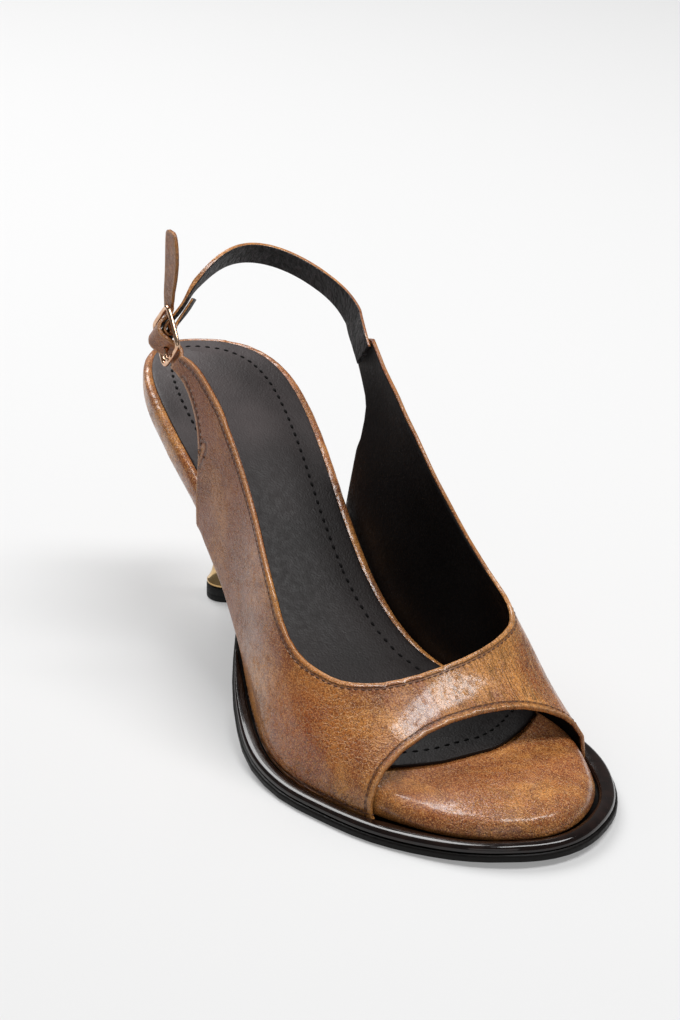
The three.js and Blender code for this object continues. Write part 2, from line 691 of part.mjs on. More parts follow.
// The pattern piece is a horseshoe. Each row is a rung from its top line (throat) to its outer line,
// which runs down the outer quarter's back edge, along the sole, up and over the toe opening,
// and back to the inner quarter's seam. A corner is where the outer line turns sharply.
const lowOuter = -wrapUnder;
const lowInner = 180 + wrapUnder;
const rungRows = [
  { throatAlong: 0.259, throatTurn: 21, edgeAlong: 0.235, edgeTurn: 16 },
  { throatAlong: 0.294, throatTurn: 23, edgeAlong: 0.27, edgeTurn: 17 },
  { throatAlong: 0.326, throatTurn: 24, edgeAlong: 0.299, edgeTurn: 16 },
  { throatAlong: 0.35, throatTurn: 24.5, edgeAlong: 0.317, edgeTurn: 13.5 },
  { throatAlong: 0.37, throatTurn: 25, edgeAlong: 0.324, edgeTurn: 9 },
  { throatAlong: 0.386, throatTurn: 25, edgeAlong: 0.321, edgeTurn: 3 },
  { throatAlong: 0.4, throatTurn: 25.3, edgeAlong: 0.316, edgeTurn: lowOuter, corner: true },
  { throatAlong: 0.44, throatTurn: 26, edgeAlong: 0.41, edgeTurn: lowOuter },
  { throatAlong: 0.49, throatTurn: 26.5, edgeAlong: 0.5, edgeTurn: lowOuter },
  { throatAlong: 0.54, throatTurn: 27.5, edgeAlong: 0.58, edgeTurn: lowOuter },
  { throatAlong: 0.59, throatTurn: 28.5, edgeAlong: 0.655, edgeTurn: lowOuter },
  { throatAlong: 0.637, throatTurn: 29.7, edgeAlong: 0.725, edgeTurn: lowOuter },
  { throatAlong: 0.675, throatTurn: 33.5, edgeAlong: 0.785, edgeTurn: lowOuter },
  { throatAlong: 0.71, throatTurn: 40.5, edgeAlong: 0.843, edgeTurn: lowOuter, corner: true },
  { throatAlong: 0.732, throatTurn: 48, edgeAlong: 0.839, edgeTurn: 6 },
  { throatAlong: 0.75, throatTurn: 60, edgeAlong: 0.833, edgeTurn: 34 },
  { throatAlong: 0.7595, throatTurn: 76, edgeAlong: 0.8225, edgeTurn: 70 },
  { throatAlong: 0.758, throatTurn: 92, edgeAlong: 0.8205, edgeTurn: 91 },
  { throatAlong: 0.746, throatTurn: 109, edgeAlong: 0.827, edgeTurn: 111 },
  { throatAlong: 0.727, throatTurn: 123, edgeAlong: 0.84, edgeTurn: 137 },
  { throatAlong: 0.706, throatTurn: 131, edgeAlong: 0.848, edgeTurn: 165 },
  { throatAlong: 0.68, throatTurn: 138, edgeAlong: 0.851, edgeTurn: lowInner, corner: true },
  { throatAlong: 0.645, throatTurn: 142.5, edgeAlong: 0.79, edgeTurn: lowInner },
  { throatAlong: 0.61, throatTurn: 143, edgeAlong: 0.72, edgeTurn: lowInner },
  { throatAlong: 0.575, throatTurn: 142, edgeAlong: 0.64, edgeTurn: lowInner },
  { throatAlong: 0.54, throatTurn: 141.3, edgeAlong: 0.56, edgeTurn: lowInner },
  { throatAlong: 0.505, throatTurn: 141, edgeAlong: 0.48, edgeTurn: lowInner },
  { throatAlong: 0.475, throatTurn: 141.7, edgeAlong: 0.41, edgeTurn: lowInner },
  { throatAlong: 0.45, throatTurn: 142.5, edgeAlong: 0.35, edgeTurn: lowInner, corner: true },
  { throatAlong: 0.43, throatTurn: 144, edgeAlong: 0.347, edgeTurn: 180 },
  { throatAlong: 0.415, throatTurn: 145, edgeAlong: 0.36, edgeTurn: 168 },
  { throatAlong: 0.4, throatTurn: 146, edgeAlong: 0.363, edgeTurn: 161.5 },
  { throatAlong: 0.386, throatTurn: 146.5, edgeAlong: 0.348, edgeTurn: 159.7 },
  { throatAlong: 0.372, throatTurn: 147, edgeAlong: 0.327, edgeTurn: 158.7 },
  { throatAlong: 0.36, throatTurn: 147.5, edgeAlong: 0.3, edgeTurn: 157.3 },
];
const rungColumns = 8;
const rungSteps = 2; // rungs made between two rows

function rungCurve(column) {
  const at = rungRows.map((row, i) => i);
  const breaks = rungRows.flatMap((row, i) => (row.corner ? [i] : []));
  const isEdge = column.startsWith("edge");
  const knots = isEdge ? [0, ...breaks, rungRows.length - 1] : [0, rungRows.length - 1];
  const pieces = knots.slice(1).map((end, k) => {
    const start = knots[k];
    const rows = rungRows.slice(start, end + 1).map((row) => row[column]);
    return { end, curve: splineThrough(at.slice(start, end + 1), rows) };
  });
  return (t) => pieces.find((piece) => t <= piece.end).curve(t);
}

function columnShares(throatTurn, edgeTurn, edgeAlong) {
  // Columns lie evenly, but where a rung runs under the footbed they gather at its rim and edge.
  const outer = throatTurn < 90;
  const throat = outer ? throatTurn : 180 - throatTurn;
  const edge = outer ? edgeTurn : 180 - edgeTurn;
  const rim = rimTurn(edgeAlong);
  const even = Array.from({ length: rungColumns }, (_, j) => j / (rungColumns - 1));
  if (edge >= rim) return even;
  const blend = Math.min(1, (rim - edge) / (rim + wrapUnder));
  const sideColumns = rungColumns - 4;
  const stops = [0, -wrapUnder / 2, -wrapUnder];
  return even.map((s, j) => {
    const turn = j <= sideColumns ? throat + ((rim - throat) * j) / sideColumns : stops[j - sideColumns - 1];
    const gathered = (throat - turn) / (throat + wrapUnder);
    return s * (1 - blend) + gathered * blend;
  });
}

function upperRungs() {
  const names = ["throatAlong", "throatTurn", "edgeAlong", "edgeTurn"];
  const [throatAlong, throatTurn, edgeAlong, edgeTurn] = names.map(rungCurve);
  const rungs = [];
  for (let i = 0; i <= (rungRows.length - 1) * rungSteps; i += 1) {
    const t = i / rungSteps;
    const shares = columnShares(throatTurn(t), edgeTurn(t), edgeAlong(t));
    rungs.push(
      shares.map((s) => {
        const share = throatAlong(t) * (1 - s) + edgeAlong(t) * s;
        return upperPoint(share, throatTurn(t) * (1 - s) + edgeTurn(t) * s);
      }),
    );
  }
  return rungs;
}

// Buckle: a wire frame with a middle bar, lying on the outer quarter's end
const leanBack = THREE.MathUtils.degToRad(buckleLean);
const tipIn = THREE.MathUtils.degToRad(buckleTip);
const acrossStrap = new THREE.Vector3(Math.cos(leanBack), 0, Math.sin(leanBack));
const alongStrap = new THREE.Vector3(-Math.sin(leanBack), 0, Math.cos(leanBack))
  .multiplyScalar(Math.cos(tipIn))
  .add(new THREE.Vector3(0, Math.sin(tipIn), 0));
const outward = new THREE.Vector3().crossVectors(acrossStrap, alongStrap);
const buckleCentre = new THREE.Vector3(buckleAhead, -buckleOut, seatHeight + buckleRise);

function onBuckle(along, across, out) {
  return buckleCentre
    .clone()
    .addScaledVector(alongStrap, along)
    .addScaledVector(acrossStrap, across)
    .addScaledVector(outward, out);
}

function roundSection(centre, tangent, radius, sides) {
  const side = new THREE.Vector3().crossVectors(tangent, outward).normalize();
  const lift = new THREE.Vector3().crossVectors(side, tangent).normalize();
  return Array.from({ length: sides }, (_, i) => {
    const a = (2 * Math.PI * i) / sides;
    const point = centre.clone().addScaledVector(side, radius * Math.cos(a));
    return point.addScaledVector(lift, radius * Math.sin(a));
  });
}

function frameSections() {
  const halfWidth = (buckleWidth - buckleWire) / 2;
  const corner = buckleCorner;
  const sections = [];
  const quarters = [
    [1, 1, 0],
    [-1, 1, 90],
    [-1, -1, 180],
    [1, -1, 270],
  ];
  quarters.forEach(([signLength, signWidth, start]) => {
    for (let step = 0; step <= 4; step += 1) {
      const a = THREE.MathUtils.degToRad(start + step * 22.5);
      const along = signLength * (halfLength - corner) + corner * Math.cos(a);
      const across = signWidth * (halfWidth - corner) + corner * Math.sin(a);
      const tangent = alongStrap
        .clone()
        .multiplyScalar(-Math.sin(a))
        .addScaledVector(acrossStrap, Math.cos(a));
      sections.push(roundSection(onBuckle(along, across, 0), tangent, buckleWire / 2, 10));
    }
  });
  return sections;
}

function barSections() {
  const halfWidth = (buckleWidth - buckleWire) / 2;
  return [-1, 1].map((sign) => {
    const centre = onBuckle(0, sign * halfWidth, 0);
    return roundSection(centre, acrossStrap, barRadius, 10);
  });
}

// Prong: springs from the middle bar's fold and rests on the lower bar
const barRadius = buckleWire * 0.42;
const halfLength = (buckleLength - buckleWire) / 2;
const foldRadius = barRadius + buckleClearance + foldThickness / 2;
const prongStart = -(foldRadius + foldThickness / 2 + buckleClearance + prongWire * 0.5);
const prongRest = (buckleWire + prongWire) / 2 + buckleClearance;
const prongPath = [
  onBuckle(prongStart, 0, 0.2),
  onBuckle(-halfLength * 0.72, 0, prongRest * 0.8),
  onBuckle(-halfLength, 0, prongRest),
  onBuckle(-halfLength - 1.2, 0, prongRest * 0.85),
];

function tube(path, radius, sides, scale = () => 1) {
  const curve = new THREE.CatmullRomCurve3(path);
  const steps = 8;
  const sections = [];
  for (let i = 0; i <= steps; i += 1) {
    const t = i / steps;
    sections.push(roundSection(curve.getPoint(t), curve.getTangent(t), radius * scale(t), sides));
  }
  return sweep(sections);
}

const frame = toManifold(sweepRing(frameSections())).add(toManifold(sweep(barSections())));
addPiece("buckle_frame", fromManifold(frame));
addPiece("buckle_prong", tube(prongPath, prongWire / 2, 10, (t) => (t > 0.9 ? 0.7 : 1)));

// The outer quarter's end runs on through the buckle as a free tail.
// along is a share of half the buckle's length, across of half the strap's width, out the middle
// of the leather in millimetres off the frame's plane, tilt turns its width, in degrees.
const passUnder = -(buckleWire / 2 + buckleClearance + billetWall / 2);
const lobeOut = foldRadius + foldThickness / 2 + buckleClearance + billetWall / 2;
const tailRows = [
  { along: -1.3, across: 0.1, out: passUnder * 0.75, tilt: -4, width: 0.88 },
  { along: -0.95, across: 0.0, out: passUnder * 1.05, tilt: 0, width: 0.95 },
  { along: -0.72, across: 0.0, out: passUnder * 0.4, tilt: 0, width: 0.95 },
  { along: -0.36, across: 0.0, out: lobeOut * 0.78, tilt: 0, width: 0.98 },
  { along: 0.0, across: 0.0, out: lobeOut * 1.22, tilt: 0, width: 1.0 },
  { along: 0.36, across: 0.0, out: lobeOut * 1.0, tilt: 0, width: 0.98 },
  { along: 0.54, across: 0.05, out: lobeOut * 0.5, tilt: 0, width: 0.92 },
  { along: 0.72, across: 0.15, out: passUnder * 0.3, tilt: 0, width: 0.84 },
  { along: 0.88, across: 0.3, out: passUnder * 1.02, tilt: 1, width: 0.76 },
  { along: 1.02, across: 0.5, out: passUnder * 1.1, tilt: 5, width: 0.7 },
  { along: 1.2, across: 1.05, out: passUnder * 0.9, tilt: 20, width: 0.68 },
  { along: 1.42, across: 1.85, out: passUnder * 0.4, tilt: 32, width: 0.72 },
  { along: 1.7, across: 3.0, out: 0.2, tilt: 40, width: 0.82 },
  { along: 2.1, across: 4.25, out: 1.2, tilt: 43, width: 0.9 },
  { along: 2.55, across: 5.05, out: 1.7, tilt: 43, width: 0.86 },
  { along: 2.92, across: 5.55, out: 2.0, tilt: 43, width: 0.7 },
  { along: 3.05, across: 5.7, out: 2.1, tilt: 43, width: 0.4 },
];

function tailRungs() {
  const keys = tailRows.map((row, i) => i);
  const curve = (column) => splineThrough(keys, tailRows.map((row) => row[column]));
  const [along, across, out, tilt, width] = ["along", "across", "out", "tilt", "width"].map(curve);
  const rungs = [];
  for (let i = 0; i <= (tailRows.length - 1) * 2; i += 1) {
    const t = i / 2;
    const shift = (across(t) * strapWidth) / 2;
    const centre = onBuckle(along(t) * halfLength, shift, out(t) + billetWall / 2);
    const angle = THREE.MathUtils.degToRad(tilt(t));
    const direction = acrossStrap.clone().multiplyScalar(Math.cos(angle));
    direction.addScaledVector(alongStrap, -Math.sin(angle));
    const half = (strapWidth * width(t)) / 2;
    const even = Array.from({ length: rungColumns }, (_, j) => 1 - (2 * j) / (rungColumns - 1));
    rungs.push(even.map((s) => centre.clone().addScaledVector(direction, half * s)));
  }
  return rungs.reverse();
}

const tail = tailRungs();
const wallAt = (i) => {
  const share = Math.min(1, Math.max(0, (i - tail.length + 1) / 4));
  return billetWall + (upperWall - billetWall) * share;
};
const upperWhole = toManifold(shell([...tail, ...upperRungs()], wallAt));
const prongHole = toManifold(tube(prongPath, prongWire / 2 + prongHoleClearance, 10));
addPiece("upper", fromManifold(upperWhole.subtract(prongHole)));

// Heel strap: leather outside, elastic inside, from under the inner quarter's end to the buckle.
// ahead is a share of the loop's reach in front of the origin, out a share of half its span,
// up a share of its rise above the seat; lean tips the top edge forwards, in degrees.
const strapRows = [
  { ahead: 0.905, out: 0.925, up: 0.52, lean: 62, width: 1.34 },
  { ahead: 0.82, out: 0.97, up: 0.592, lean: 55, width: 1.3 },
  { ahead: 0.7, out: 0.975, up: 0.662, lean: 48, width: 1.18 },
  { ahead: 0.57, out: 0.938, up: 0.725, lean: 42, width: 1.06 },
  { ahead: 0.34, out: 0.787, up: 0.85, lean: 34, width: 1.0 },
  { ahead: 0.182, out: 0.574, up: 0.932, lean: 31, width: 1.0 },
  { ahead: 0.114, out: 0.328, up: 0.98, lean: 30, width: 1.0 },
  { ahead: 0.125, out: 0.098, up: 1.0, lean: 30, width: 1.0 },
  { ahead: 0.193, out: -0.164, up: 0.988, lean: 31, width: 1.0 },
  { ahead: 0.261, out: -0.41, up: 0.908, lean: 32, width: 1.0 },
  { ahead: 0.295, out: -0.6, up: 0.785, lean: 34, width: 1.0 },
];
// The end goes in under the buckle's top bar, round the middle bar and back up inside itself.
// along is a share of half the buckle's length, across of half the strap's width, out is in
// millimetres off the frame's plane, level blends the width from the loop's lean to the buckle's.
const goingRows = [
  { along: 1.15, across: 1.2, out: -6.9, level: 0.3 },
  { along: 0.9, across: 0.75, out: -5.0, level: 0.6 },
  { along: 0.7, across: 0.3, out: -3.1, level: 0.85 },
  { along: 0.52, across: 0.05, out: -1.2, level: 1 },
  { along: 0.32, across: 0.0, out: 0.65, level: 1 },
];
const comingRows = [
  { along: 0.26, across: 0.0, out: -2.75, level: 1 },
  { along: 0.5, across: 0.1, out: -4.5, level: 0.9 },
  { along: 0.75, across: 0.45, out: -6.5, level: 0.7 },
  { along: 1.0, across: 0.85, out: -8.5, level: 0.5 },
  { along: 1.25, across: 1.25, out: -10.3, level: 0.3 },
];

function strapPath() {
  // Under the inner quarter's end the strap follows the quarter's inside.
  const rungs = upperRungs();
  const last = rungs.length - 1;
  const path = [2, 1, 0].map((back) => {
    const rung = rungs[last - back];
    const top = rung[0];
    const low = rung[rungColumns - 1];
    const direction = top.clone().sub(low).normalize();
    const travel = rungs[last][3].clone().sub(rungs[last - 2][3]);
    const inward = travel.cross(direction).normalize();
    inward.multiplyScalar(-Math.sign(inward.y));
    const depth = upperWall + buckleClearance + strapThickness / 2;
    const centre = low.clone().lerp(top, 0.58).addScaledVector(inward, depth);
    return { centre, direction, half: loopWidth * 0.67, thickness: strapThickness };
  });
  const keys = strapRows.map((row, i) => i);
  const curve = (column) => splineThrough(keys, strapRows.map((row) => row[column]));
  const [ahead, out, up, lean, width] = ["ahead", "out", "up", "lean", "width"].map(curve);
  for (let i = 0; i <= (strapRows.length - 1) * 2; i += 1) {
    const t = i / 2;
    const y = (out(t) * loopSpan) / 2;
    const centre = new THREE.Vector3(ahead(t) * loopReach, y, seatHeight + up(t) * loopRise);
    const angle = THREE.MathUtils.degToRad(lean(t));
    const direction = new THREE.Vector3(Math.sin(angle), 0, Math.cos(angle));
    path.push({ centre, direction, half: (loopWidth * width(t)) / 2, thickness: strapThickness });
  }
  const loopLean = path[path.length - 1].direction;
  const fold = { half: loopWidth / 2, thickness: foldThickness };
  const pushRow = ({ along, across: shift, out: lift, level }) => {
    const centre = onBuckle(along * halfLength, (shift * strapWidth) / 2, lift);
    path.push({ centre, direction: loopLean.clone().lerp(acrossStrap, level).normalize(), ...fold });
  };
  goingRows.forEach(pushRow);
  for (let step = 0; step <= 6; step += 1) {
    const a = THREE.MathUtils.degToRad(115 - step * 30);
    const centre = onBuckle(-foldRadius * Math.cos(a), 0, foldRadius * Math.sin(a));
    path.push({ centre, direction: acrossStrap, ...fold });
  }
  comingRows.forEach(pushRow);
  return path;
}

function strapSections() {
  const path = strapPath();
  return path.map(({ centre, direction, half, thickness }, i) => {
    const before = path[Math.max(i - 1, 0)].centre;
    const after = path[Math.min(i + 1, path.length - 1)].centre;
    const tangent = after.clone().sub(before).normalize();
    const width = direction.clone().addScaledVector(tangent, -direction.dot(tangent)).normalize();
    const normal = new THREE.Vector3().crossVectors(tangent, width).normalize();
    const corner = (across, lift) => {
      const point = centre.clone().addScaledVector(width, across * half);
      return point.addScaledVector(normal, (lift * thickness) / 2);
    };
    const face = [[-1, -0.6], [-0.94, -1], [0.94, -1], [1, -0.6], [1, 0.6], [0.94, 1], [-0.94, 1], [-1, 0.6]];
    return face.map(([across, lift]) => corner(across, lift));
  });
}

addPiece("sling_strap", sweep(strapSections()));

export default sandal;
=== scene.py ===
# Slingback stiletto sandal, right shoe. Metres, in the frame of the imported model:
# X from heel to toe, Y towards the inner side of the foot, Z up, origin under the heel tip.
import math

import bpy
from mathutils import Matrix, Vector
from mathutils.bvhtree import BVHTree
from mathutils.kdtree import KDTree


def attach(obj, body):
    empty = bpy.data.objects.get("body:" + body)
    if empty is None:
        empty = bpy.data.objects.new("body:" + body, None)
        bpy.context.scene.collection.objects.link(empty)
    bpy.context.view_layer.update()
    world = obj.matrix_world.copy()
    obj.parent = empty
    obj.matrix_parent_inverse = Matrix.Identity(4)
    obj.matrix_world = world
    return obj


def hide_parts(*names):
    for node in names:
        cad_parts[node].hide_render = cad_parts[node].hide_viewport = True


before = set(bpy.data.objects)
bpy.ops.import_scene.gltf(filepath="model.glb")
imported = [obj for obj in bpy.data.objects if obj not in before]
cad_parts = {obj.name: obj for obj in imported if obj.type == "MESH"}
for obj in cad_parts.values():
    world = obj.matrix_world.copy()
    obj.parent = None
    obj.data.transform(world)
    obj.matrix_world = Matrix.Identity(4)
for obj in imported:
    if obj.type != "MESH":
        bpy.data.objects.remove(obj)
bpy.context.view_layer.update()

# Heel tip. A black rubber top piece, turned to a disc and pinned into the heel's foot.
# Its side carries the faint rings of the lathe, and the floor has dulled it.


class Field:
    """A shader socket in plain arithmetic."""

    def __init__(self, finish, socket):
        self.finish, self.socket = finish, socket

    def __add__(self, other):
        return self.finish.maths("ADD", self, other)

    def __sub__(self, other):
        return self.finish.maths("SUBTRACT", self, other)

    def __rsub__(self, other):
        return self.finish.maths("SUBTRACT", other, self)

    def __mul__(self, other):
        return self.finish.maths("MULTIPLY", self, other)


class Finish:
    """A material, built node by node under the name of its finish."""

    def __init__(self, name):
        self.material = bpy.data.materials.new(name)
        self.material.use_nodes = True
        self.tree = self.material.node_tree
        self.shader = self.tree.nodes["Principled BSDF"]

    def node(self, kind, settings=None, inputs=None, output=0):
        made = self.tree.nodes.new(kind)
        for key, value in (settings or {}).items():
            setattr(made, key, value)
        for key, value in (inputs or {}).items():
            self.feed(made.inputs[key], value)
        return Field(self, made.outputs[output])

    def feed(self, socket, value):
        if isinstance(value, Field):
            self.tree.links.new(value.socket, socket)
        elif isinstance(value, tuple) and len(value) == 3 and socket.type == "RGBA":
            socket.default_value = (*value, 1.0)
        else:
            socket.default_value = value

    def maths(self, operation, *values):
        return self.node(
            "ShaderNodeMath", {"operation": operation}, dict(enumerate(values))
        )

    def place(self):
        return self.node("ShaderNodeTexCoord", output="Object")

    def stretched(self, x, y, z):
        """The piece's own place, with each axis scaled, so that a pattern runs along one."""
        return self.node(
            "ShaderNodeMapping", {}, {"Vector": self.place(), "Scale": (x, y, z)}
        )

    def clouds(self, scale, detail=2.0, roughness=0.5, place=None, distortion=0.0):
        return self.node(
            "ShaderNodeTexNoise",
            {},
            {
                "Vector": place or self.place(),
                "Scale": scale,
                "Detail": detail,
                "Roughness": roughness,
                "Distortion": distortion,
            },
        )

    def cells(self, scale, feature="F1", place=None):
        return self.node(
            "ShaderNodeTexVoronoi",
            {"feature": feature},
            {"Vector": place or self.place(), "Scale": scale},
        )

    def between(self, value, low, high):
        """0 at low, 1 at high, with a soft turn at both ends."""
        return self.node(
            "ShaderNodeMapRange",
            {"interpolation_type": "SMOOTHSTEP"},
            {"Value": value, "From Min": low, "From Max": high},
        )

    def blend(self, share, a, b):
        return self.node(
            "ShaderNodeMix",
            {"data_type": "RGBA"},
            {"Factor": share, 6: a, 7: b},
            output=2,
        )

    def held(self, name):
        """A value that the mesh carries at its points."""
        return self.node("ShaderNodeAttribute", {"attribute_name": name}, output="Fac")

    def relief(self, height, depth):
        """Raised and sunk by depth metres as height goes from 0 to 1."""
        inputs = {"Height": height, "Distance": depth, "Strength": 1.0}
        return self.node("ShaderNodeBump", {}, inputs)

    def surface(self, **values):
        for key, value in values.items():
            self.feed(self.shader.inputs[key.replace("_", " ")], value)
        return self.material


def paint(code):
    """A colour given as #rrggbb, in the shader's linear light."""
    parts = [int(code[i : i + 2], 16) / 255 for i in (1, 3, 5)]
    return tuple(
        p / 12.92 if p <= 0.04045 else ((p + 0.055) / 1.055) ** 2.4 for p in parts
    )


def choose(piece):
    """Only this piece is selected and active."""
    bpy.ops.object.select_all(action="DESELECT")
    piece.select_set(True)
    bpy.context.view_layer.objects.active = piece


def taken_from(node, name, sharp=45, crisp=0.9, levels=2):
    """A merged copy of a solid, its corners kept crisp while the rest is rounded off."""
    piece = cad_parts[node].copy()
    piece.data = piece.data.copy()
    piece.name = piece.data.name = name
    piece.parent = None
    for key in list(piece.keys()):
        del piece[key]
    bpy.context.scene.collection.objects.link(piece)
    piece.data.materials.clear()
    choose(piece)
    bpy.ops.mesh.customdata_custom_splitnormals_clear()
    bpy.ops.object.mode_set(mode="EDIT")
    bpy.ops.mesh.select_all(action="SELECT")
    bpy.ops.mesh.remove_doubles(threshold=1e-6)
    turn = math.radians(50)
    bpy.ops.mesh.tris_convert_to_quads(face_threshold=turn, shape_threshold=turn)
    bpy.ops.mesh.select_all(action="DESELECT")
    bpy.ops.mesh.edges_select_sharp(sharpness=math.radians(sharp))
    bpy.ops.transform.edge_crease(value=crisp)
    bpy.ops.object.mode_set(mode="OBJECT")
    bpy.ops.object.shade_smooth()
    if levels:
        rounded(piece, levels)
    return piece


def rounded(piece, levels):
    choose(piece)
    made = piece.modifiers.new("rounded", "SUBSURF")
    made.levels = made.render_levels = levels
    bpy.ops.object.modifier_apply(modifier=made.name)


def fitted(piece, node, slot, *materials):
    """The piece stands where its solid stands, and goes with the whole shoe."""
    if not piece.data.materials:
        for material in materials:
            piece.data.materials.append(material)
    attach(piece, "root")
    if node:
        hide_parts(node)


def turned_profile(name, profile, sides):
    """A profile of (radius, height) pairs in millimetres, spun round the heel's axis."""
    bpy.ops.object.select_all(action="DESELECT")
    bpy.ops.mesh.primitive_plane_add(size=0.001, location=(0, 0, 0))
    piece = bpy.context.active_object
    piece.name = piece.data.name = name
    bpy.ops.object.mode_set(mode="EDIT")
    bpy.ops.mesh.select_all(action="SELECT")
    bpy.ops.mesh.merge(type="CENTER")
    bpy.ops.transform.translate(
        value=(profile[0][0] / 1000, 0, profile[0][1] / 1000)
    )
    for (r0, z0), (r1, z1) in zip(profile, profile[1:]):
        step = ((r1 - r0) / 1000, 0, (z1 - z0) / 1000)
        bpy.ops.mesh.extrude_region_move(TRANSFORM_OT_translate={"value": step})
    bpy.ops.mesh.select_all(action="SELECT")
    bpy.ops.mesh.spin(
        steps=sides, angle=math.tau, center=(0, 0, 0), axis=(0, 0, 1), dupli=False
    )
    bpy.ops.mesh.select_all(action="SELECT")
    bpy.ops.mesh.remove_doubles(threshold=1e-6)
    bpy.ops.mesh.normals_make_consistent(inside=False)
    bpy.ops.object.mode_set(mode="OBJECT")
    bpy.ops.object.shade_smooth_by_angle(angle=math.radians(40))
    return piece


tip_profile = [
    (0, 0), (6.4, 0), (6.8, 0.12), (7.0, 0.45), (6.97, 2.3), (6.9, 2.42), (6.95, 2.55),
    (6.9, 4.9), (6.75, 5.25), (6.4, 5.4), (0, 5.4),
]
heel_tip = turned_profile("heel_tip_rubber", tip_profile, 72)
rubber = Finish("tip_rubber")
scuff = rubber.clouds(900, 4, 0.6)
fitted(
    heel_tip,
    "heel_tip",
    "tip_rubber",
    rubber.surface(
        Base_Color=rubber.blend(
            rubber.between(scuff, 0.45, 0.75), paint("#0b0b0b"), paint("#1c1b1b")
        ),
        Roughness=rubber.between(scuff, 0.2, 0.8) * 0.25 + 0.5,
        Normal=rubber.relief(scuff, 0.00006),
        Specular_IOR_Level=0.3,
    ),
)

# Ferrule. A collar spun from thin brass and plated pale gold, pressed on over the post's foot.
# It flares to a rolled lip that sits on the rubber.

ferrule_profile = [
    (0, 5.7), (6.5, 5.7), (6.75, 5.8), (6.8, 6.05), (6.8, 6.4), (6.72, 6.62), (6.5, 6.8),
    (6.28, 7.1), (5.95, 7.7), (5.6, 8.4), (5.25, 9.2), (4.95, 10.1), (4.7, 11.1),
    (4.5, 12.1), (4.38, 13.0), (4.32, 13.7), (4.3, 14.0), (4.2, 14.2), (0, 14.2),
]
ferrule = turned_profile("ferrule_gold", ferrule_profile, 72)
gold = Finish("pale_gold")
lathe_rings = gold.clouds(1.0, 3, 0.5, gold.stretched(60, 60, 5200))
fitted(
    ferrule,
    "ferrule",
    "gold",
    gold.surface(
        Base_Color=gold.blend(
            gold.between(gold.clouds(160, 2), 0.35, 0.65), paint("#e2c08d"), paint("#d3ab74")
        ),
        Metallic=1.0,
        Roughness=gold.between(lathe_rings, 0.3, 0.7) * 0.08 + 0.1,
        Normal=gold.relief(lathe_rings, 0.00001),
    ),
)

# Heel. Moulded plastic on a steel pin, drawn from a D-shaped cup into a thin post.
# It is sprayed mid brown and left satin, with a soft mottling under the lacquer.

heel = taken_from("heel", "heel_painted", sharp=50)
lacquer = Finish("heel_lacquer")
spray = lacquer.clouds(120, 3)
orange_peel = lacquer.clouds(1400, 2)
fitted(
    heel,
    "heel",
    "heel_paint",
    lacquer.surface(
        Base_Color=lacquer.blend(
            lacquer.between(spray, 0.35, 0.7), paint("#855339"), paint("#74452f")
        ),
        Roughness=lacquer.between(spray, 0.3, 0.7) * 0.06 + 0.24,
        Coat_Weight=0.35,
        Coat_Roughness=0.12,
        Normal=lacquer.relief(orange_peel, 0.000012),
    ),
)

# Outsole. Black sheet rubber cut to the true outline, its edge ground and dressed.
# It runs from the heel's breast through the arch to the sprung toe.

outsole = taken_from("outsole", "outsole_rubber", sharp=40, crisp=0.85)
sheet_rubber = Finish("outsole_rubber")
grind = sheet_rubber.clouds(700, 3)
tread = sheet_rubber.cells(700, "F1")
fitted(
    outsole,
    "outsole",
    "sole_rubber",
    sheet_rubber.surface(
        Base_Color=sheet_rubber.blend(
            sheet_rubber.between(grind, 0.4, 0.7), paint("#080605"), paint("#100c0a")
        ),
        Roughness=sheet_rubber.between(grind, 0.3, 0.7) * 0.14 + 0.4,
        Specular_IOR_Level=0.18,
        Normal=sheet_rubber.relief(tread, 0.00004),
    ),
)

# Welt. A bead of dark brown plastic round the rim, drawn glossy, with a fine bright crest.
# It is stuck on the outsole's upper face from waist to waist round the toe.

welt = taken_from("welt", "welt_bead", sharp=60, crisp=0.7, levels=0)
pad = BVHTree.FromObject(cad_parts["footbed"], bpy.context.evaluated_depsgraph_get())
for vertex in welt.data.vertices:
    # In front of the upper the bead reaches in to the toe pad.
    near = pad.find_nearest(vertex.co)[0]
    away = Vector((vertex.co.x - near.x, vertex.co.y - near.y, 0))
    if vertex.co.x > 0.16 and away.length < 0.0055:
        share = min(max((vertex.co.x - 0.164) / 0.006, 0), 1)
        wanted = 0.0004 + max(0, away.length - 0.0025) * 1.7
        vertex.co -= away.normalized() * max(0, away.length - wanted) * share
rounded(welt, 2)
bead = Finish("welt_gloss")
drawn = bead.clouds(240, 2)
fitted(
    welt,
    "welt",
    "welt_gloss",
    bead.surface(
        Base_Color=bead.blend(
            bead.between(drawn, 0.35, 0.7), paint("#120907"), paint("#1d100c")
        ),
        Roughness=bead.between(drawn, 0.3, 0.7) * 0.06 + 0.1,
        Coat_Weight=0.35,
        Coat_Roughness=0.06,
        Specular_IOR_Level=0.3,
        Normal=bead.relief(bead.clouds(900, 2), 0.000015),
    ),
)

# Footbed. Board and foam covered in the upper's leather, pulled round the edge and stuck.
# The cover stands up as a rim round the sock and swells into the toe pad.

